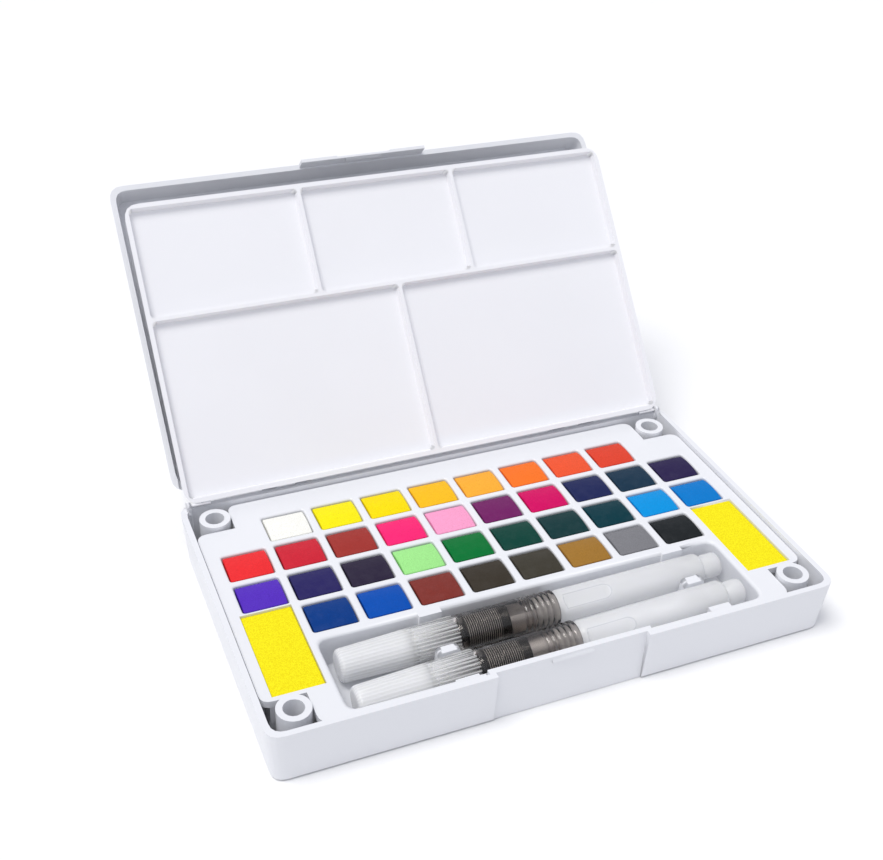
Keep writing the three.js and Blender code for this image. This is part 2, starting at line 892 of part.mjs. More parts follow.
function barrelSolid() {
  const start = barrelStart;
  const end = barrelEnd;
  const neckRadius = gripRadius - gripWall - gap;
  const bore = barrelRadius - barrelWall;
  return turned([
    [start - barrelNeckLength, neckRadius],
    [start, neckRadius],
    [start, barrelRadius],
    [end - barrelShoulder, barrelRadius],
    [end, barrelRadius - barrelShoulder / 2],
    [end, tailRadius - barrelNeckWall + gap],
    [end - tailPlugLength - gap, tailRadius - barrelNeckWall + gap],
    [end - tailPlugLength - gap - barrelNeckWall, bore],
    [start + barrelNeckWall, bore],
    [start, neckRadius - barrelNeckWall],
    [start - barrelNeckLength, neckRadius - barrelNeckWall],
    [start - barrelNeckLength, neckRadius],
  ]);
}

function tailSolid() {
  const end = barrelEnd;
  const face = end + gap;
  const plug = tailRadius - barrelNeckWall;
  return turned([
    [end - tailPlugLength, 0],
    [end - tailPlugLength, plug],
    [face, plug],
    [face, tailRadius],
    [face + tailLength - tailRound, tailRadius],
    [face + tailLength, tailRadius - tailRound],
    [face + tailLength, 0],
  ]);
}

function makeBrush(name, y, turn) {
  const brush = new THREE.Group();
  brush.add(toMesh(`${name}_cap`, capSolid(), 0xe6e8ec, 0.5));
  brush.add(toMesh(`${name}_grip`, gripSolid(), 0x6f665f, 0.25));
  brush.add(toMesh(`${name}_feed`, feedSolid(), 0x14161a, 0.4));
  brush.add(toMesh(`${name}_tuft`, tuftSolid(), 0xd9d6cf, 0.7));
  brush.add(toMesh(`${name}_barrel`, barrelSolid(), 0xedeff3, 0.4));
  brush.add(toMesh(`${name}_tail_plug`, tailSolid(), 0xedeff3, 0.4));
  brush.applyMatrix4(brushPlace(y, turn));
  return brush;
}

function makeHingePin(name, x) {
  const pin = rodX(hingePinRadius, x - hingeHalf, x + hingeHalf, hingeY, hingeZ);
  return toMesh(name, pin, 0xb9bcc2, 0.35);
}

// The whole box at rest, lid and palette open

const lid = new THREE.Group();
lid.position.set(0, hingeY, hingeZ);
lid.rotation.x = -THREE.MathUtils.degToRad(lidOpenAngle);
const lidShell = toMesh('lid_shell', makeLid(), white);
lidShell.position.set(0, -hingeY, -hingeZ);
lid.add(lidShell);

const palette = new THREE.Group();
palette.position.set(0, pivotY, pivotZ);
palette.rotation.x = THREE.MathUtils.degToRad(paletteLean);
palette.add(toMesh('palette', makePalette(), white, 0.4));

const box = new THREE.Group();
box.add(toMesh('base_shell', makeBase(), white));
box.add(lid);
box.add(palette);
box.add(makeHingePin('left_hinge_pin', -hingeOffset));
box.add(makeHingePin('right_hinge_pin', hingeOffset));
box.add(toMesh('insert_tray', makeTray(), white));
box.add(...makeCakes());
box.add(makeSponge('left_sponge', -1));
box.add(makeSponge('right_sponge', 1));
box.add(makeBrush('rear_brush', brushRearY, rearBrushTurn));
box.add(makeBrush('front_brush', brushFrontY, frontBrushTurn));
box.updateMatrixWorld(true);

export default box;
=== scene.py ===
"""Watercolour paint box on a white ground: open lid, leaning palette, paint cakes, sponges, water brushes."""

import json
import math

import bmesh
import bpy
import numpy as np
from mathutils import Matrix, Vector


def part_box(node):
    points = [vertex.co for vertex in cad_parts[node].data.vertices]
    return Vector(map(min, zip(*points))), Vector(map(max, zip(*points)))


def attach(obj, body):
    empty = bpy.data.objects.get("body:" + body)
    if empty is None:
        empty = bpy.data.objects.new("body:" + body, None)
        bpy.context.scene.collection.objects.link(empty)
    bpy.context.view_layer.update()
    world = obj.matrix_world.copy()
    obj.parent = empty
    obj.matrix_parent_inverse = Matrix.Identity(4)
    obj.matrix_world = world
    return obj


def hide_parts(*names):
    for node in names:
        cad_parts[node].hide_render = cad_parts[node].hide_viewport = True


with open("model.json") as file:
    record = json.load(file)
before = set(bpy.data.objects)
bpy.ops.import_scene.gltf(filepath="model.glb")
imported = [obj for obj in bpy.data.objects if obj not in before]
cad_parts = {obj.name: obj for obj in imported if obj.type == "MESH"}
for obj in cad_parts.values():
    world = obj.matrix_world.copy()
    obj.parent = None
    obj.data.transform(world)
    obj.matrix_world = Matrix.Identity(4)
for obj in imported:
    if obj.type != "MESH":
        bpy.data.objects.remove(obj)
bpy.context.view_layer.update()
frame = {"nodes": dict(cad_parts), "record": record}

MM = 0.001

# Camera, solved from the photograph; its place is in metres
CAMERA_PLACE = (-0.18300, -0.35551, 0.34478)
CAMERA_RIGHT = (0.92429, -0.38025, 0.03226)
CAMERA_DOWN = (-0.18588, -0.52242, -0.83214)
CAMERA_FORWARD = (0.33329, 0.76319, -0.55358)
CAMERA_LENS = 50.534
CAMERA_SENSOR = 36.0
CAMERA_NEAREST = 0.01

# Light and ground, lengths in metres
SUN_FROM = (-0.34, -0.05, 0.93)
SUN_STRENGTH = 1.85
SUN_WIDTH = math.radians(30)
SUN_COLOR = (1.0, 0.985, 0.955)
SKY_COLOR = (0.91, 0.935, 1.03)
SKY_STRENGTH = 0.6
GROUND_HALF = 4.0
GROUND_DROP = 0.0002
GROUND_COLOR = (0.93, 0.93, 0.93)
GROUND_ROUGHNESS = 0.9

# Points nearer than this are one point, metres
DOUBLES_APART = 1e-6
CAD_DOUBLES_APART = 2e-6

# Rounding of moulded edges, lengths in millimetres
SHELL_ROUND = 0.6
TRAY_ROUND = 0.6
PALETTE_ROUND = 0.6
ROUND_STEPS = 3
ROUND_ANGLE = math.radians(50)
ROUND_LEAST_EDGE = 1.2
FLAT_ANGLE = math.radians(1)
LARGE_FACE_WEIGHT = 80

# Textures: scales in waves per metre, heights in millimetres
NOISE_LOW = 0.3
NOISE_HIGH = 0.7
FLOW_SCALE = 18.0
FLOW_SHADE = 0.98
DULL_SCALE = 90.0
DULL_EXTRA = 0.09
PEEL_SCALE = 1400.0
PEEL_HEIGHT = 0.05
GRAIN_SCALE = 2600.0
GRAIN_SHADES = (0.86, 1.12)
GRAIN_HEIGHT = 0.06
GRAIN_STRENGTH = 0.55
BLOOM_SCALE = 260.0
BLOOM_RANGE = (0.45, 0.75)
BLOOM_COLOR = (0.75, 0.76, 0.8)
BLOOM_ROUGHNESS = (0.38, 0.6)
SWELL_SCALE = 420.0
SWELL_HEIGHT = 0.3
SWELL_STRENGTH = 0.35
CELL_SCALE = 2300.0
CELL_RANGE = (0.1, 0.75)
CELL_PATCH_SCALE = 900.0
CELL_PATCH_LEAST = 0.5
CELL_HEIGHT = 0.2
CELL_STRENGTH = 0.4
FOAM_ROUGHNESS = 0.9
# Foam yellow, with painted shade where the cells are low
FOAM_PORE_SHADE_COLORS = ((0.05, (0.84, 0.70, 0.008)), (0.55, (0.97, 0.88, 0.015)))
MATT_SPECULAR = 0.1
STREAK_SCALES = (40.0, 1100.0, 1100.0)

# Plastics; a row of four is a range to carry a value to, then the range that it is carried from
MILK_SPREAD = 0.95
MILK_SPREAD_COLORS = (1.0, 1.0, 1.05)
# Painted shade along the press panel's outline and painted light over the panel
PRESS_OUTLINE_PAINTED_SHADE = (1.0, 0.8, 0.0, 0.35)
PRESS_PAINTED_LIGHT = 1.05
PRESS_RANGE = (0.4, 0.8)
# Painted shade in the valleys of the grip's rings and ribs
SMOKE_VALLEY_PAINTED_SHADE = (1.0, 0.72, 0.0, 1.0)
SMOKE_IOR = 1.49
# Painted highlight on the crests of the feed's rings, black in the valleys
FEED_PAINTED_HIGHLIGHT = (1.0, 0.012, 0.0, 0.55)
CAP_VALLEY_COVER = 0.72
CAP_CREST_COVER = 0.8
MOUTH_VALLEY_COVER = (0.0, 0.12, 0.4, 0.65)
MOUTH_CREST_COVER = (0.2, 0.6, 0.35, 0.6)
CAP_VALLEY_RANGE = (0.1, 0.6)

# Paint cakes, millimetres
CAKE_ROUND = 0.5
CAKE_CROWN = 0.8
CAKE_TOP_POINTS = 33
CAKE_CORNER_POINTS = 5

# Paint colours, as a share of the record's and a drop, with more bloom on dark ones
PAINT_SHARE = 0.94
PAINT_DROP = 0.006
PAINT_LEAST = 0.001
PAINT_DARK = 0.25
PAINT_DARK_BLOOM = 0.012
PAINT_LIGHT_BLOOM = 0.006

# Foam blocks, millimetres; the swell is the foam pressed against its pocket
SPONGE_SWELL = 0.22
SPONGE_COLUMNS = 60
SPONGE_ROWS = 120
SPONGE_EDGE = 0.9
SPONGE_TOP_DROP = 0.12
SPONGE_WAVE_HEIGHT = 0.022
SPONGE_WAVES = ((2.1, 1.3, 0.2), (-1.7, 2.6, 1.1), (3.9, -2.2, 2.7), (-4.6, -3.8, 0.9), (6.1, 5.3, 3.3))

# Water brushes, millimetres
BRUSH_SIDES = 240
ROUND_SIDES = 96
BODY_RINGS = 120
CORNER_POINTS = 7
PIECE_GAP = 0.3
SKIN_INSET = 0.03
NECK_CLEARANCE = 0.35

# Caps: closed tip, flutes, a shallow groove round them, and the bore
CAP_TIP_RADIUS = 6.5
CAP_TIP_ROUND = 1.9
CAP_TIP_POINTS = 9
CAP_WALL = 0.9
CAP_LIP = 0.3
FLUTES = 30
FLUTE_DEPTH = 0.5
FLUTE_DEPTH_TIP = 0.1
FLUTE_GROWTH = 3
FLUTE_FULLNESS = 0.8
CAP_MARK = 13.0
CAP_MARK_HALF = 0.3
CAP_MARK_DEPTH = 0.12
CAP_CLEAR = 20.0
CAP_CLEAR_FADE = 3.0
CAP_BORE = 3.2
CAP_BORE_END = 4
CAP_BORE_TAPER = 4
CAP_MOUTH_PLAY = 0.25

# Grips: nose, fine rings, ribs and bore
GRIP_WALL = 1.5
GRIP_RINGS = 640
NOSE_RADIUS = 5.3
NOSE_TIP_RADIUS = 3.8
NOSE_TAPER = 6
NOSE_BORE = 2.3
NOSE_BORE_LENGTH = 4.5
GRIP_FRONT_EDGE = 0.25
GRIP_FRONT_DROP = 0.3
GRIP_REAR_EDGE = 0.5
GRIP_REAR_STEPS = ((0.2, 0.1), (0.0, 0.45))
GRIP_BORE_START = 1.5
RING_COUNT = 18
RING_DEPTH = 0.02
RINGS_SHARES = (0.045, 0.412)
RIB_COUNT = 6
RIB_DEPTH = 0.32
RIBS_SHARES = (0.63, 0.965)

# Barrels: collar steps as places from the start and depths under the radius, panel turns in degrees
COLLAR_STEPS = ((0.0, 0.8), (0.2, 0.6), (1.2, 0.6), (1.5, 0.3))
BARREL_START = 2.2
BARREL_REAR = 1.5
BARREL_INSET = 0.05
BARREL_TAPER = 0.1
SHOULDER_LENGTH = 1.4
SHOULDER_INSET = 0.15
SHOULDER_DROP = 0.9
SOCKET_INSET = 1.0
SOCKET_DEPTH = 5.3
PANEL_DROP = 0.9
PANEL_START = 2.6
PANEL_LENGTH = 21.0
PANEL_STEP = 0.3
PANEL_FADE = 3.0
PANEL_FADE_POWER = 0.5
PANEL_LEAST_RISE = 0.05
PANEL_TURNS = {"rear_brush": 33.0, "front_brush": 48.0}
PRESS_INSET = 0.1
PRESS_FULL_DEPTH = 0.3

# Tail plugs: steps as places from the face and depths under the radius
TAIL_EDGE = 0.9
TAIL_SPIGOT_INSET = 1.35
TAIL_STEPS = ((0.0, 0.4), (0.25, 0.15), (2.2, 0.15), (2.5, 0.0))

# Feeds
FEED_REACH = 21.2
FEED_STEP = 3.0
FEED_STEP_LENGTH = 0.8
FEED_REAR_EDGE = 0.4
FEED_GROOVE = 0.1
FEED_RINGS = 400

# Tufts
TUFT_RINGS = 40
TUFT_BELLY = 2.25
TUFT_BELLY_SHARE = 0.62
TUFT_FULLNESS = 0.8
TUFT_ROOT_SHARE = 0.8
TUFT_ROOT = 1.95
TUFT_STRANDS = 48
TUFT_STRAND_DEPTH = 0.05
TUFT_STRAND_START = 6


# Mesh building

def make_object(name, vertices, faces):
    """A mesh object from an (n, 3) array in metres and a list or array of faces."""
    mesh = bpy.data.meshes.new(name)
    mesh.from_pydata(np.asarray(vertices).tolist(), [], [list(map(int, f)) for f in faces])
    mesh.validate()
    mesh.shade_smooth()
    piece = bpy.data.objects.new(name, mesh)
    bpy.context.scene.collection.objects.link(piece)
    return piece


def ring_faces(rings, sides):
    """Quads between neighbouring rings of a (rings, sides) grid whose rings close on themselves."""
    i, j = np.meshgrid(np.arange(rings - 1), np.arange(sides), indexing="ij")
    below = i * sides
    above = (i + 1) * sides
    k = (j + 1) % sides
    quads = np.stack([below + j, below + k, above + k, above + j], axis=-1)
    return quads.reshape(-1, 4)


def point_outwards(piece):
    """Recalculates the normals of a closed mesh after its doubles are merged."""
    bm = bmesh.new()
    bm.from_mesh(piece.data)
    bmesh.ops.remove_doubles(bm, verts=bm.verts, dist=DOUBLES_APART)
    bmesh.ops.recalc_face_normals(bm, faces=bm.faces)
    bm.to_mesh(piece.data)
    bm.free()
    piece.data.shade_smooth()
    return piece


def wave(angle):
    """A smooth wave that is 0 at every full turn and 1 halfway between: (1 - cos(angle)) / 2."""
    return 0.5 - 0.5 * np.cos(angle)


def brush_place(side):
    """The middle of a brush in millimetres, and the three directions along, across and above it as rows."""
    joint = [j for j in frame["record"]["behaviour"]["joints"] if j["name"] == f"{side}_barrel_twist"][0]
    along = np.array(joint["axis"], float)
    along = along / np.linalg.norm(along)
    above = np.array([0.0, 0.0, 1.0])
    return np.array(joint["pos_m"]) / MM, np.stack([along, np.cross(above, along), above])


def stations(node, place):
    """First and last place of a CAD node along a brush, and its largest radius."""
    mesh = frame["nodes"][node].data
    points = np.empty(len(mesh.vertices) * 3)
    mesh.vertices.foreach_get("co", points)
    middle, axes = place
    local = (points.reshape(-1, 3) / MM - middle) @ axes.T
    return local[:, 0].min(), local[:, 0].max(), np.hypot(local[:, 1], local[:, 2]).max()


def revolved(name, place, x, radius, flute=None, panel=None, marks=None):
    """A body of revolution about a brush's own line.

    Ring i lies at x[i] with radius[i]; flute(x, angle) gives a depth that is taken off the radius, and
    panel(x, angle, r) limits it. Either the first and last rings have no radius, which closes the ends, or
    they lie on each other, which closes a hollow body. Each of marks(x, angle) is kept at the points under
    its own name.
    """
    sides = ROUND_SIDES if flute is None and panel is None else BRUSH_SIDES
    angle = np.linspace(0, 2 * np.pi, sides, endpoint=False)
    x = np.asarray(x, float)
    r = np.repeat(np.asarray(radius, float)[:, None], sides, axis=1)
    if flute is not None:
        r = r - flute(x[:, None], angle[None, :])
    if panel is not None:
        r = panel(x[:, None], angle[None, :], r)
    local = np.stack([np.repeat(x[:, None], sides, axis=1), r * np.cos(angle), r * np.sin(angle)], axis=-1)
    middle, axes = place
    piece = make_object(name, (middle + local.reshape(-1, 3) @ axes) * MM, ring_faces(len(x), sides))
    for label, mark in (marks or {}).items():
        layer = piece.data.attributes.new(label, "FLOAT", "POINT")
        values = np.broadcast_to(mark(x[:, None], angle[None, :]), r.shape)
        layer.data.foreach_set("value", np.ascontiguousarray(values, dtype=np.float32).ravel())
    return point_outwards(piece)


def moulded_copy(node, name, width):
    """A copy of a moulded solid whose longer sharp edges are rounded by width millimetres."""
    source = frame["nodes"][node]
    mesh = source.data.copy()
    mesh.materials.clear()
    bm = bmesh.new()
    bm.from_mesh(mesh)
    bmesh.ops.remove_doubles(bm, verts=bm.verts, dist=CAD_DOUBLES_APART)
    bmesh.ops.dissolve_limit(bm, angle_limit=FLAT_ANGLE, verts=bm.verts, edges=bm.edges)
    weight = bm.edges.layers.float.new("bevel_weight_edge")
    for edge in bm.edges:
        sharp = edge.is_manifold and edge.calc_face_angle() > ROUND_ANGLE
        edge[weight] = 1.0 if sharp and edge.calc_length() > ROUND_LEAST_EDGE * MM else 0.0
    bm.to_mesh(mesh)
    bm.free()
    mesh.shade_smooth()
    piece = bpy.data.objects.new(name, mesh)
    bpy.context.scene.collection.objects.link(piece)
    bevel = piece.modifiers.new("rounded edges", "BEVEL")
    bevel.width = width * MM
    bevel.segments = ROUND_STEPS
    bevel.limit_method = "WEIGHT"
    bevel.use_clamp_overlap = True
    flatten = piece.modifiers.new("even faces", "WEIGHTED_NORMAL")
    flatten.weight = LARGE_FACE_WEIGHT
    flatten.keep_sharp = False
    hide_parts(node)
    return piece


# Shader groups that several finishes share

def new_group(name, inputs, outputs):
    group = bpy.data.node_groups.new(name, "ShaderNodeTree")
    for label, kind, value in inputs:
        socket = group.interface.new_socket(label, in_out="INPUT", socket_type=kind)
        socket.default_value = value
    for label, kind in outputs:
        group.interface.new_socket(label, in_out="OUTPUT", socket_type=kind)
    start = group.nodes.new("NodeGroupInput")
    end = group.nodes.new("NodeGroupOutput")
    return group, start, end


def noise_value(tree, point, scale, detail=3.0):
    """Smooth noise at a point, with the given number of waves per metre."""
    noise = tree.nodes.new("ShaderNodeTexNoise")
    noise.inputs["Scale"].default_value = scale
    noise.inputs["Detail"].default_value = detail
    tree.links.new(point, noise.inputs["Vector"])
    return noise.outputs["Fac"]


def ranged(tree, source, low, high, low_in=NOISE_LOW, high_in=NOISE_HIGH):
    """The source value carried from low_in..high_in to low..high."""
    node = tree.nodes.new("ShaderNodeMapRange")
    node.inputs["From Min"].default_value = low_in
    node.inputs["From Max"].default_value = high_in
    for label, value in (("To Min", low), ("To Max", high)):
        if isinstance(value, (int, float)):
            node.inputs[label].default_value = value
        else:
            tree.links.new(value, node.inputs[label])
    tree.links.new(source, node.inputs["Value"])
    return node.outputs["Result"]


def math_node(tree, operation):
    node = tree.nodes.new("ShaderNodeMath")
    node.operation = operation
    return node


def bump_node(tree, height, distance):
    """A bump whose full height is a distance in millimetres."""
    node = tree.nodes.new("ShaderNodeBump")
    node.inputs["Distance"].default_value = distance * MM
    tree.links.new(height, node.inputs["Height"])
    return node


def scaled_color(tree, color, factor):
    """A colour multiplied by a value."""
    node = tree.nodes.new("ShaderNodeVectorMath")
    node.operation = "SCALE"
    tree.links.new(color, node.inputs[0])
    tree.links.new(factor, node.inputs["Scale"])
    return node.outputs["Vector"]


def object_point(tree):
    return tree.nodes.new("ShaderNodeTexCoord").outputs["Object"]


def mark_value(tree, name):
    """A mark that a piece keeps at its points, or 0 where it has none."""
    node = tree.nodes.new("ShaderNodeAttribute")
    node.attribute_name = name
    return node.outputs["Fac"]


def moulded_group():
    """Injection-moulded skin: cloudy flow marks in the colour, polished and dull spots, fine orange peel."""
    group, start, end = new_group("moulded skin", [
        ("Color", "NodeSocketColor", (0.8, 0.8, 0.8, 1)),
        ("Roughness", "NodeSocketFloat", 0.35),
        ("Peel", "NodeSocketFloat", 0.05),
    ], [("Color", "NodeSocketColor"), ("Roughness", "NodeSocketFloat"), ("Normal", "NodeSocketVector")])
    point = object_point(group)
    flow = noise_value(group, point, FLOW_SCALE, 4.0)
    peel = noise_value(group, point, PEEL_SCALE, 2.0)
    patches = noise_value(group, point, DULL_SCALE)
    shade = ranged(group, flow, FLOW_SHADE, 1.0)
    group.links.new(scaled_color(group, start.outputs["Color"], shade), end.inputs["Color"])
    duller = math_node(group, "ADD")
    duller.inputs[1].default_value = DULL_EXTRA
    group.links.new(start.outputs["Roughness"], duller.inputs[0])
    rough = ranged(group, patches, start.outputs["Roughness"], duller.outputs["Value"])
    group.links.new(rough, end.inputs["Roughness"])
    bump = bump_node(group, peel, PEEL_HEIGHT)
    group.links.new(start.outputs["Peel"], bump.inputs["Strength"])
    group.links.new(bump.outputs["Normal"], end.inputs["Normal"])
    return group


def cake_group():
    """Dried poured paint: fine pigment grain, paler bloom in patches, and a skin that is smooth in places."""
    group, start, end = new_group("dried paint", [
        ("Color", "NodeSocketColor", (0.8, 0.1, 0.1, 1)),
        ("Bloom", "NodeSocketFloat", 0.06),
    ], [("Color", "NodeSocketColor"), ("Roughness", "NodeSocketFloat"), ("Normal", "NodeSocketVector")])
    point = object_point(group)
    grain = noise_value(group, point, GRAIN_SCALE, 4.0)
    patch = noise_value(group, point, BLOOM_SCALE)
    swell = noise_value(group, point, SWELL_SCALE, 2.0)
    base = scaled_color(group, start.outputs["Color"], ranged(group, grain, *GRAIN_SHADES))
    mix = group.nodes.new("ShaderNodeMix")
    mix.data_type = "RGBA"
    mix.inputs["B"].default_value = (*BLOOM_COLOR, 1)
    amount = ranged(group, patch, 0.0, start.outputs["Bloom"], *BLOOM_RANGE)
    group.links.new(amount, mix.inputs["Factor"])
    group.links.new(base, mix.inputs["A"])
    group.links.new(mix.outputs["Result"], end.inputs["Color"])
    group.links.new(ranged(group, patch, *BLOOM_ROUGHNESS), end.inputs["Roughness"])
    fine = bump_node(group, grain, GRAIN_HEIGHT)
    fine.inputs["Strength"].default_value = GRAIN_STRENGTH
    broad = bump_node(group, swell, SWELL_HEIGHT)
    broad.inputs["Strength"].default_value = SWELL_STRENGTH
    group.links.new(fine.outputs["Normal"], broad.inputs["Normal"])
    group.links.new(broad.outputs["Normal"], end.inputs["Normal"])
    return group


MOULDED = moulded_group()
DRIED = cake_group()


# Finishes

def new_finish(name):
    material = bpy.data.materials.new(name)
    material.use_nodes = True
    return material, material.node_tree, material.node_tree.nodes["Principled BSDF"]


def placed_group(tree, group, shader, color, **values):
    """A shared group in a finish, with its values set and its outputs led to the shader."""
    node = tree.nodes.new("ShaderNodeGroup")
    node.node_tree = group
    node.inputs["Color"].default_value = (*color, 1)
    for label, value in values.items():
        node.inputs[label].default_value = value
    tree.links.new(node.outputs["Color"], shader.inputs["Base Color"])
    tree.links.new(node.outputs["Roughness"], shader.inputs["Roughness"])
    tree.links.new(node.outputs["Normal"], shader.inputs["Normal"])
    return node


def plastic_finish(name, color, roughness, peel=0.05):
    material, tree, shader = new_finish(name)
    placed_group(tree, MOULDED, shader, color, Roughness=roughness, Peel=peel)
    return material


def milky_finish(name, color, roughness, cover, depth):
    """Milky plastic: light spreads inside the wall, and each skin covers a share of what lies behind it.

    The press panel has painted light, a little whiter than the rest, and painted shade, a little darker,
    along its outline.
    """
    material, tree, shader = new_finish(name)
    node = placed_group(tree, MOULDED, shader, color, Roughness=roughness, Peel=0.08)
    # Painted light over the press panel and painted shade along its outline
    press = mark_value(tree, "press")
    outline = ranged(tree, press, *PRESS_OUTLINE_PAINTED_SHADE)
    whiter = ranged(tree, press, outline, PRESS_PAINTED_LIGHT, *PRESS_RANGE)
    tree.links.new(scaled_color(tree, node.outputs["Color"], whiter), shader.inputs["Base Color"])
    shader.inputs["Alpha"].default_value = cover
    shader.inputs["Subsurface Weight"].default_value = MILK_SPREAD
    shader.inputs["Subsurface Radius"].default_value = MILK_SPREAD_COLORS
    shader.inputs["Subsurface Scale"].default_value = depth * MM
    return material


def smoky_finish(name, color, roughness):
    """Clear smoky plastic that bends the light, with painted shade darkening the valleys of its rings and
    ribs.
    """
    material, tree, shader = new_finish(name)
    node = placed_group(tree, MOULDED, shader, color, Roughness=roughness, Peel=0.04)
    # Painted shade: the colour darkens in the ring and rib valleys
    shade = ranged(tree, mark_value(tree, "ring"), *SMOKE_VALLEY_PAINTED_SHADE)
    tree.links.new(scaled_color(tree, node.outputs["Color"], shade), shader.inputs["Base Color"])
    shader.inputs["Transmission Weight"].default_value = 1.0
    shader.inputs["IOR"].default_value = SMOKE_IOR
    return material


def feed_finish(name, color, roughness):
    """Black plastic with a painted highlight: light colour on the crests of its rings in place of the light
    that they mirror.
    """
    material, tree, shader = new_finish(name)
    node = placed_group(tree, MOULDED, shader, color, Roughness=roughness, Peel=0.02)
    shade = ranged(tree, mark_value(tree, "ring"), *FEED_PAINTED_HIGHLIGHT)
    tree.links.new(scaled_color(tree, node.outputs["Color"], shade), shader.inputs["Base Color"])
    return material


def fluted_finish(name, color, roughness, depth):
    """Frosted plastic that covers most of the cap's inside.

    Near the mouth it covers less, in streaks, and least in the valleys of the flutes.
    """
    material = milky_finish(name, color, roughness, 1.0, depth)
    tree = material.node_tree
    shader = tree.nodes["Principled BSDF"]
    stretch = tree.nodes.new("ShaderNodeMapping")
    stretch.inputs["Scale"].default_value = STREAK_SCALES
    tree.links.new(object_point(tree), stretch.inputs["Vector"])
    streaks = noise_value(tree, stretch.outputs["Vector"], 1.0)
    mouth = mark_value(tree, "mouth")
    valley = ranged(tree, mouth, CAP_VALLEY_COVER, ranged(tree, streaks, *MOUTH_VALLEY_COVER), 0.0, 1.0)
    crest = ranged(tree, mouth, CAP_CREST_COVER, ranged(tree, streaks, *MOUTH_CREST_COVER), 0.0, 1.0)
    cover = ranged(tree, mark_value(tree, "valley"), crest, valley, *CAP_VALLEY_RANGE)
    tree.links.new(cover, shader.inputs["Alpha"])
    return material


def cake_finish(name, color, bloom):
    material, tree, shader = new_finish(name)
    placed_group(tree, DRIED, shader, color, Bloom=bloom)
    shader.inputs["Specular IOR Level"].default_value = MATT_SPECULAR
    return material


def steel_finish():
    """Drawn steel wire with a slightly uneven skin."""
    material, tree, shader = new_finish("pin steel")
    shader.inputs["Metallic"].default_value = 1.0
    placed_group(tree, MOULDED, shader, (0.6, 0.61, 0.63), Roughness=0.28, Peel=0.2)
    return material


def sponge_finish():
    """Foam: fine cells that are high and pale in the middle, low and darker at the rim as painted shade in
    the pores, weaker in patches.
    """
    material, tree, shader = new_finish("yellow foam")
    point = object_point(tree)
    cells = tree.nodes.new("ShaderNodeTexVoronoi")
    cells.inputs["Scale"].default_value = CELL_SCALE
    tree.links.new(point, cells.inputs["Vector"])
    patches = noise_value(tree, point, CELL_PATCH_SCALE)
    height = math_node(tree, "MULTIPLY")
    tree.links.new(ranged(tree, cells.outputs["Distance"], 1.0, 0.0, *CELL_RANGE), height.inputs[0])
    tree.links.new(ranged(tree, patches, CELL_PATCH_LEAST, 1.0), height.inputs[1])
    # Painted shade in the pores: darker yellow where the cells are low
    ramp = tree.nodes.new("ShaderNodeValToRGB")
    for element, (position, color) in zip(ramp.color_ramp.elements, FOAM_PORE_SHADE_COLORS):
        element.position = position
        element.color = (*color, 1)
    tree.links.new(height.outputs["Value"], ramp.inputs["Fac"])
    tree.links.new(ramp.outputs["Color"], shader.inputs["Base Color"])
    bump = bump_node(tree, height.outputs["Value"], CELL_HEIGHT)
    bump.inputs["Strength"].default_value = CELL_STRENGTH
    tree.links.new(bump.outputs["Normal"], shader.inputs["Normal"])
    shader.inputs["Roughness"].default_value = FOAM_ROUGHNESS
    shader.inputs["Specular IOR Level"].default_value = MATT_SPECULAR
    return material


def finish_with(piece, material):
    piece.data.materials.clear()
    piece.data.materials.append(material)


def record_color(slot):
    found = [m for m in frame["record"]["materials"] if m["slot"] == slot]
    return tuple(found[0]["base_color"][:3])


# Shells, tray and palette

WHITE = plastic_finish("white plastic", (0.82, 0.828, 0.855), 0.32)
# Whiter than the box's white: the palette is its own plastic, and part of the extra whiteness is painted
# light for its brightly lit leaning face
PALETTE_WHITE = plastic_finish("palette plastic", (0.90, 0.90, 0.925), 0.30, 0.04)
STEEL = steel_finish()


def dress_shells():
    plan = [
        ("base_shell", "base_moulding", "base", SHELL_ROUND, WHITE, "white_plastic"),
        ("lid_shell", "lid_moulding", "lid", SHELL_ROUND, WHITE, "white_plastic"),
        ("insert_tray", "tray_moulding", "tray", TRAY_ROUND, WHITE, "white_plastic"),
        ("palette", "palette_moulding", "palette_leaf", PALETTE_ROUND, PALETTE_WHITE, "palette_plastic"),
    ]
    for node, name, body, width, material, slot in plan:
        piece = moulded_copy(node, name, width)
        finish_with(piece, material)
        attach(piece, body)
    for node in ("left_hinge_pin", "right_hinge_pin"):
        finish_with(frame["nodes"][node], STEEL)


# Paint cakes

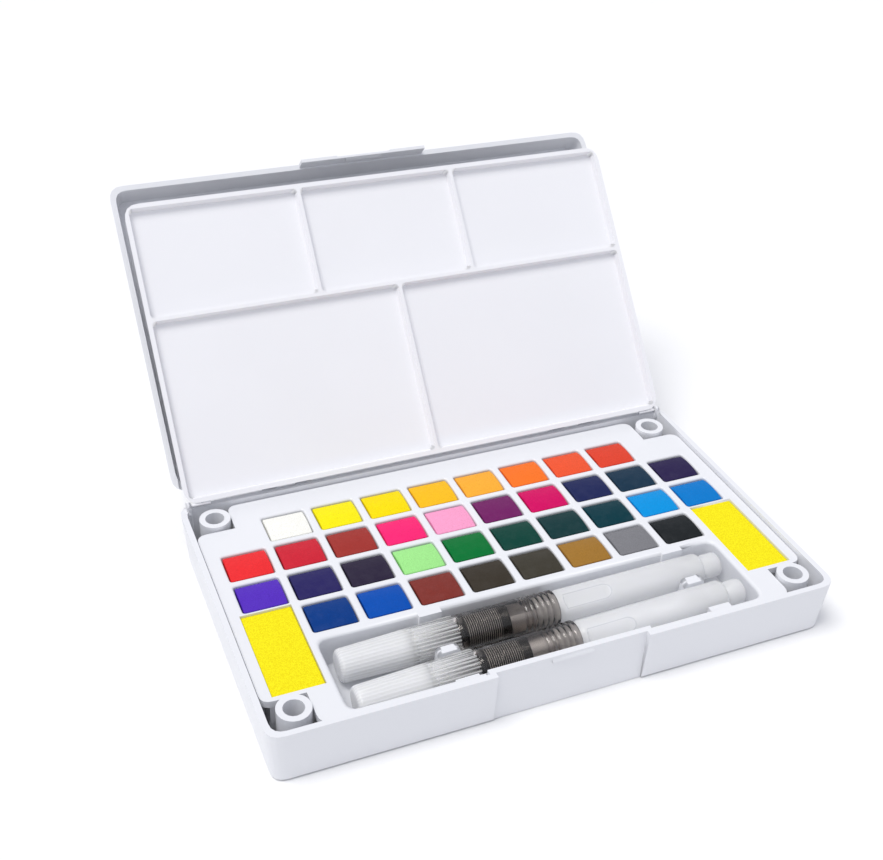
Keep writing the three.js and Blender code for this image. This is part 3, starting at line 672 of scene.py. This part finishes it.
def cake_piece(node):
    """A poured cake: a closed front-to-rear profile carried along X.

    The profile is a flat bottom, two upright sides and an arched top, z = crest - crown * share squared, with
    its upper corners rounded by a quarter circle. Towards either end it draws in by a quarter circle.
    """
    low, high = (np.array(v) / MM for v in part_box(node))
    half = (high[1] - low[1]) / 2
    middle = (low + high) / 2
    share = np.linspace(1, -1, CAKE_TOP_POINTS)
    top_y = share * (half - CAKE_ROUND)
    top_z = high[2] - CAKE_CROWN * share ** 2
    quarter = np.linspace(0, np.pi / 2, CAKE_CORNER_POINTS)
    side_z = high[2] - CAKE_CROWN - CAKE_ROUND
    front_y = -(half - CAKE_ROUND) - CAKE_ROUND * np.sin(quarter[1:])
    front_z = side_z + CAKE_ROUND * np.cos(quarter[1:])
    y = np.concatenate([top_y, front_y, [-half, half], -front_y[::-1]])
    z = np.concatenate([top_z, front_z, [low[2], low[2]], front_z[::-1]])
    centre_z = (low[2] + side_z) / 2
    inset = np.concatenate([CAKE_ROUND * (1 - np.sin(quarter)), CAKE_ROUND * (1 - np.sin(quarter[::-1]))])
    x = np.concatenate([
        low[0] + CAKE_ROUND * (1 - np.cos(quarter)),
        high[0] - CAKE_ROUND * (1 - np.cos(quarter[::-1])),
    ])
    keep_y = 1 - inset / half
    keep_z = 1 - inset / (high[2] - centre_z)
    grid = np.stack([
        np.repeat(x[:, None], len(y), axis=1),
        middle[1] + keep_y[:, None] * y,
        centre_z + keep_z[:, None] * (z - centre_z),
    ], axis=-1)
    rings, sides = grid.shape[:2]
    faces = [list(f) for f in ring_faces(rings, sides)]
    faces.append(list(range(sides)))
    faces.append(list(range((rings - 1) * sides, rings * sides)))
    piece = make_object(f"{node}_paint", grid.reshape(-1, 3) * MM, faces)
    return point_outwards(piece)


def dress_cakes():
    for node in sorted(frame["nodes"]):
        if not node.startswith("cake_"):
            continue
        piece = cake_piece(node)
        slot = node.replace("cake", "paint")
        color = tuple(np.clip(PAINT_SHARE * np.array(record_color(slot)) - PAINT_DROP, PAINT_LEAST, 1.0))
        bloom = PAINT_DARK_BLOOM if max(color) < PAINT_DARK else PAINT_LIGHT_BLOOM
        finish_with(piece, cake_finish(slot, color, bloom))
        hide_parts(node)
        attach(piece, "tray")


# Sponges

def sponge_piece(node):
    """An upright rectangular foam block with rounded top edges and a finely uneven top.

    Within SPONGE_EDGE of a side the top falls by a quarter circle. All of it is raised and lowered by a sum
    of sin(a x + b y + c), with a, b and c from the rows of SPONGE_WAVES.
    """
    low, high = (np.array(v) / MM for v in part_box(node))
    centre = (low + high) / 2
    half = (high - low) / 2
    half[:2] += SPONGE_SWELL
    u = np.linspace(-1, 1, SPONGE_COLUMNS)
    v = np.linspace(-1, 1, SPONGE_ROWS)
    uu, vv = np.meshgrid(u, v, indexing="ij")
    x = uu * half[0]
    y = vv * half[1]
    border = np.minimum(half[0] - np.abs(x), half[1] - np.abs(y))
    inward = 1 - np.clip(border / SPONGE_EDGE, 0, 1)
    rounding = SPONGE_EDGE * (1 - np.sqrt(np.clip(1 - inward ** 2, 0, 1)))
    waves = sum(np.sin(x * a + y * b + c) for a, b, c in SPONGE_WAVES)
    top = high[2] - SPONGE_TOP_DROP - rounding + SPONGE_WAVE_HEIGHT * waves
    bottom = np.full_like(top, low[2])
    sheets = np.concatenate([
        np.stack([centre[0] + x, centre[1] + y, top], axis=-1).reshape(-1, 3),
        np.stack([centre[0] + x, centre[1] + y, bottom], axis=-1).reshape(-1, 3),
    ])
    rows = SPONGE_ROWS
    columns = SPONGE_COLUMNS
    i, j = np.meshgrid(np.arange(columns - 1), np.arange(rows - 1), indexing="ij")
    corner = (i * rows + j).ravel()
    quads = np.stack([corner, corner + rows, corner + rows + 1, corner + 1], axis=-1)
    count = columns * rows
    rim = np.concatenate([
        np.arange(columns) * rows,
        (columns - 1) * rows + np.arange(1, rows),
        np.arange(columns - 1)[::-1] * rows + rows - 1,
        np.arange(1, rows - 1)[::-1],
    ])
    after = np.roll(rim, -1)
    walls = np.stack([rim, after, after + count, rim + count], axis=-1)
    faces = np.concatenate([quads, quads[:, ::-1] + count, walls])
    piece = make_object(f"{node}_foam", sheets * MM, faces)
    return point_outwards(piece)


def dress_sponges():
    material = sponge_finish()
    for node, body in (("left_sponge", "left_sponge_block"), ("right_sponge", "right_sponge_block")):
        piece = sponge_piece(node)
        finish_with(piece, material)
        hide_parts(node)
        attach(piece, body)


# Water brushes

CAP_FROST = fluted_finish("frosted cap", (0.95, 0.965, 0.985), 0.28, 3.0)
GRIP_SMOKE = smoky_finish("smoky grip", (0.86, 0.815, 0.78), 0.04)
BARREL_MILK = milky_finish("milky barrel", (0.94, 0.955, 0.98), 0.3, 0.62, 6.0)
# The feed's light colour is a painted highlight; its ring mark turns it black away from the crests
FEED_BLACK_PAINTED_HIGHLIGHT = feed_finish("black feed with painted ring highlight", (0.80, 0.79, 0.76), 0.45)
HAIR = plastic_finish("brush hair", (0.7, 0.66, 0.6), 0.6, 0.3)


def cap_piece(name, place):
    """A fluted cap whose radius rises evenly from the closed tip to the open end.

    The flutes take off depth * wave(FLUTES * angle) to the power FLUTE_FULLNESS. The depth grows towards the
    open end with a power of the share of the length. The bore is wide near the mouth and narrow further in.
    """
    start, end, radius = stations(f"{name}_cap", place)
    tip_turn = np.linspace(0, np.pi / 2, CAP_TIP_POINTS)
    tip_x = start + CAP_TIP_ROUND * (1 - np.cos(tip_turn))
    tip_r = CAP_TIP_RADIUS - CAP_TIP_ROUND + CAP_TIP_ROUND * np.sin(tip_turn)
    body_x = np.linspace(tip_x[-1], end - CAP_LIP, BODY_RINGS)[1:]
    slope = (radius - CAP_TIP_RADIUS) / (end - tip_x[-1])
    body_r = CAP_TIP_RADIUS + slope * (body_x - tip_x[-1])
    body_r = body_r - CAP_MARK_DEPTH * (np.abs(body_x - (end - CAP_MARK)) < CAP_MARK_HALF)
    lip_x = [end, end]
    lip_r = [radius - CAP_LIP, radius - CAP_WALL]
    bore_end = start + CAP_BORE_END
    inner_x = [end - CAP_CLEAR, end - CAP_CLEAR - CAP_BORE_TAPER, bore_end, bore_end]
    inner_r = [radius - CAP_WALL - CAP_MOUTH_PLAY, CAP_BORE, CAP_BORE, 0]
    x = np.concatenate([[start], tip_x, body_x, lip_x, inner_x])
    r = np.concatenate([[0], tip_r, body_r, lip_r, inner_r])
    outer_count = 1 + len(tip_x) + len(body_x) + 1
    share = np.clip((x - start) / (end - start), 0, 1)
    depth = FLUTE_DEPTH_TIP + (FLUTE_DEPTH - FLUTE_DEPTH_TIP) * share ** FLUTE_GROWTH
    depth[0] = 0
    depth[outer_count:] = 0

    def flute(_, angle):
        return depth[:, None] * wave(FLUTES * angle) ** FLUTE_FULLNESS

    marks = {
        "valley": lambda _, angle: wave(FLUTES * angle),
        "mouth": lambda xx, _: np.clip((xx - (end - CAP_CLEAR)) / CAP_CLEAR_FADE, 0, 1),
    }
    return revolved(f"{name}_cap_fluted", place, x, r, flute=flute, marks=marks)


def grip_piece(name, place):
    """A clear grip: fine rings over its front part, a smooth collar, then wavy ribs, round a smooth bore."""
    nose_start, end, radius = stations(f"{name}_grip", place)
    start = stations(f"{name}_cap", place)[1] + PIECE_GAP
    bore = radius - GRIP_WALL
    body_x = np.linspace(start + GRIP_FRONT_EDGE, end - GRIP_REAR_EDGE, GRIP_RINGS)
    share = (body_x - start) / (end - start)
    relief = np.zeros_like(body_x)
    ring = np.zeros_like(body_x)
    for (first, last), count, depth in (
        (RINGS_SHARES, RING_COUNT, RING_DEPTH),
        (RIBS_SHARES, RIB_COUNT, RIB_DEPTH),
    ):
        inside = (share > first) & (share < last)
        phase = (share[inside] - first) / (last - first) * count
        ring[inside] = wave(2 * np.pi * phase)
        relief[inside] = -depth * ring[inside]
    nose_end = nose_start + NOSE_TAPER
    inner = NOSE_RADIUS - GRIP_WALL
    nose_x = [nose_start, nose_start, nose_end, start, start]
    nose_r = [NOSE_BORE, NOSE_TIP_RADIUS, NOSE_RADIUS, NOSE_RADIUS, radius - GRIP_FRONT_DROP]
    rear_x = [end - along for along, _ in GRIP_REAR_STEPS]
    rear_r = [radius - drop for _, drop in GRIP_REAR_STEPS]
    bore_x = [end, start + GRIP_BORE_START, start, nose_end, nose_start + NOSE_BORE_LENGTH, nose_start]
    bore_r = [bore, bore, inner, inner, NOSE_BORE, NOSE_BORE]
    x = np.concatenate([nose_x, body_x, rear_x, bore_x])
    r = np.concatenate([nose_r, radius - SKIN_INSET + relief, rear_r, bore_r])
    ring = np.concatenate([np.zeros(len(nose_x)), ring, np.zeros(len(rear_x) + len(bore_x))])
    return revolved(f"{name}_grip_clear", place, x, r, marks={"ring": lambda *_: ring[:, None]})


def barrel_piece(name, place):
    """A soft reservoir: a round body with a neck, small collar, press panel, round shoulder and socket.

    Over the panel's length the radius is limited to h / sin(angle - roll), a plane at distance h.
    """
    roll = math.radians(PANEL_TURNS[name])
    neck_start, end, radius = stations(f"{name}_barrel", place)
    start = stations(f"{name}_grip", place)[1] + PIECE_GAP
    neck = stations(f"{name}_grip", place)[2] - GRIP_WALL - NECK_CLEARANCE
    turn = np.linspace(0, np.pi / 2, CORNER_POINTS)
    shoulder_x = end - SHOULDER_LENGTH + SHOULDER_LENGTH * np.sin(turn)
    shoulder_r = radius - SHOULDER_INSET - SHOULDER_DROP * (1 - np.cos(turn))
    body_x = np.linspace(start + BARREL_START, end - BARREL_REAR, BODY_RINGS)
    body_r = radius - BARREL_INSET - BARREL_TAPER * (body_x - start) / (end - start)
    collar_x = [start + along for along, _ in COLLAR_STEPS]
    collar_r = [radius - drop for _, drop in COLLAR_STEPS]
    socket = stations(f"{name}_tail_plug", place)[2] - SOCKET_INSET
    neck_x = [neck_start, neck_start, start]
    inner_x = [end, end - SOCKET_DEPTH, end - SOCKET_DEPTH]
    x = np.concatenate([neck_x, collar_x, body_x, shoulder_x, inner_x])
    r = np.concatenate([[0, neck, neck], collar_r, body_r, shoulder_r, [socket, socket, 0]])
    outer = np.zeros(len(x), bool)
    outer[len(neck_x):len(x) - len(inner_x)] = True
    panel_start = start + PANEL_START
    panel_end = panel_start + PANEL_LENGTH

    def panel(xx, angle, rr):
        near_end = np.clip((panel_end - xx) / PANEL_FADE, 0, 1) ** PANEL_FADE_POWER
        along = np.clip((xx - panel_start) / PANEL_STEP, 0, 1) * near_end
        height = radius - PANEL_DROP * along
        rise = np.maximum(np.sin(angle - roll), PANEL_LEAST_RISE)
        flat = np.minimum(rr, height / rise)
        return np.where(outer[:, None] & (along > 0), flat, rr)

    # The press mark is the panel's depth, which leads the painted light and shade of the barrel's finish
    def press(xx, angle):
        full = np.full((len(x), angle.shape[1]), radius - PRESS_INSET)
        return np.clip((full - panel(xx, angle, full)) / PRESS_FULL_DEPTH, 0, 1)

    return revolved(f"{name}_barrel_soft", place, x, r, panel=panel, marks={"press": press})


def tail_piece(name, place):
    """The end plug: a short round cap with a soft edge on a spigot."""
    spigot_start, end, radius = stations(f"{name}_tail_plug", place)
    face = stations(f"{name}_barrel", place)[1] + PIECE_GAP
    turn = np.linspace(0, np.pi / 2, CORNER_POINTS)
    edge_x = end - TAIL_EDGE + TAIL_EDGE * np.sin(turn)
    edge_r = radius - TAIL_EDGE * (1 - np.cos(turn))
    spigot = radius - TAIL_SPIGOT_INSET
    face_x = [face + along for along, _ in TAIL_STEPS]
    face_r = [radius - drop for _, drop in TAIL_STEPS]
    x = np.concatenate([[spigot_start, spigot_start, face], face_x, edge_x, [end]])
    r = np.concatenate([[0, spigot, spigot], face_r, edge_r, [0]])
    return revolved(f"{name}_tail_plug_soft", place, x, r)


def feed_piece(name, place):
    """The black insert in the grip: a neck, then a thicker body with fine rings that is plain behind them."""
    start, _, radius = stations(f"{name}_feed", place)
    mouth = stations(f"{name}_cap", place)[1] + PIECE_GAP
    step = mouth + FEED_STEP
    end = mouth + FEED_REACH
    neck = NOSE_RADIUS - GRIP_WALL - NECK_CLEARANCE
    body_x = np.linspace(step, end - FEED_REAR_EDGE, FEED_RINGS)
    length = stations(f"{name}_grip", place)[1] - mouth
    first, last = RINGS_SHARES
    phase = ((body_x - mouth) / length - first) / (last - first) * RING_COUNT
    groove = np.where(phase < RING_COUNT, wave(2 * np.pi * phase), 1)
    x = np.concatenate([[start, start, step - FEED_STEP_LENGTH], body_x, [end, end]])
    body_r = radius - SKIN_INSET - FEED_GROOVE * groove
    r = np.concatenate([[0, neck, neck], body_r, [radius - FEED_REAR_EDGE, 0]])
    ring = np.concatenate([[1, 1, 1], groove, [1, 1]])
    return revolved(f"{name}_feed_black", place, x, r, marks={"ring": lambda *_: ring[:, None]})


def tuft_piece(name, place):
    """A pointed hair tuft with faint strands that swells by a power of a sine towards its round root."""
    start, end, _ = stations(f"{name}_tuft", place)
    share = np.linspace(0, 1, TUFT_RINGS)
    x = start + share * (end - start)
    belly = TUFT_BELLY * np.sin(np.pi * np.clip(share * TUFT_BELLY_SHARE, 0, 0.5)) ** TUFT_FULLNESS
    r = np.where(share > TUFT_ROOT_SHARE, TUFT_ROOT, belly)
    r[0] = 0
    x = np.concatenate([x, [end]])
    r = np.concatenate([r, [0]])

    def strands(xx, angle):
        begun = np.clip((xx - start) / TUFT_STRAND_START, 0, 1)
        return TUFT_STRAND_DEPTH * wave(TUFT_STRANDS * angle) * begun * (xx < end)

    return revolved(f"{name}_tuft_hair", place, x, r, flute=strands)


def dress_brush(side):
    name = f"{side}_brush"
    place = brush_place(side)
    plan = [
        (cap_piece, "cap", f"{side}_cap", CAP_FROST, "cap_plastic"),
        (grip_piece, "grip", name, GRIP_SMOKE, "grip_plastic"),
        (feed_piece, "feed", name, FEED_BLACK_PAINTED_HIGHLIGHT, "feed_plastic"),
        (tuft_piece, "tuft", name, HAIR, "tuft_hair"),
        (barrel_piece, "barrel", f"{side}_barrel", BARREL_MILK, "barrel_plastic"),
        (tail_piece, "tail_plug", f"{side}_barrel", BARREL_MILK, "barrel_plastic"),
    ]
    for make, part, body, material, slot in plan:
        piece = make(name, place)
        finish_with(piece, material)
        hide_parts(f"{name}_{part}")
        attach(piece, body)


# Ground, light and camera

def make_ground():
    corners = [(-1, -1, 0), (1, -1, 0), (1, 1, 0), (-1, 1, 0)]
    ground = make_object("ground", GROUND_HALF * np.array(corners), [(0, 1, 2, 3)])
    ground.location.z = -GROUND_DROP
    material, _, shader = new_finish("white ground")
    shader.inputs["Base Color"].default_value = (*GROUND_COLOR, 1)
    shader.inputs["Roughness"].default_value = GROUND_ROUGHNESS
    ground.data.materials.append(material)


def make_light():
    world = bpy.data.worlds.new("studio")
    world.use_nodes = True
    background = world.node_tree.nodes["Background"]
    background.inputs["Color"].default_value = (*SKY_COLOR, 1)
    background.inputs["Strength"].default_value = SKY_STRENGTH
    bpy.context.scene.world = world
    data = bpy.data.lights.new("overhead", "SUN")
    data.energy = SUN_STRENGTH
    data.angle = SUN_WIDTH
    data.color = SUN_COLOR
    light = bpy.data.objects.new("overhead", data)
    light.rotation_mode = "QUATERNION"
    light.rotation_quaternion = Vector(SUN_FROM).to_track_quat("Z", "Y")
    bpy.context.scene.collection.objects.link(light)
    bpy.context.scene.view_settings.view_transform = "Standard"


def make_camera():
    data = bpy.data.cameras.new("camera")
    data.lens = CAMERA_LENS
    data.sensor_width = CAMERA_SENSOR
    data.sensor_fit = "HORIZONTAL"
    data.clip_start = CAMERA_NEAREST
    camera = bpy.data.objects.new("camera", data)
    axes = np.stack([CAMERA_RIGHT, -np.array(CAMERA_DOWN), -np.array(CAMERA_FORWARD)], axis=1)
    matrix = Matrix(axes.tolist()).to_4x4()
    matrix.translation = CAMERA_PLACE
    camera.matrix_world = matrix
    bpy.context.scene.collection.objects.link(camera)
    bpy.context.scene.camera = camera


make_camera()
dress_shells()
dress_cakes()
dress_sponges()
dress_brush("rear")
dress_brush("front")
make_ground()
make_light()

bpy.context.view_layer.update()
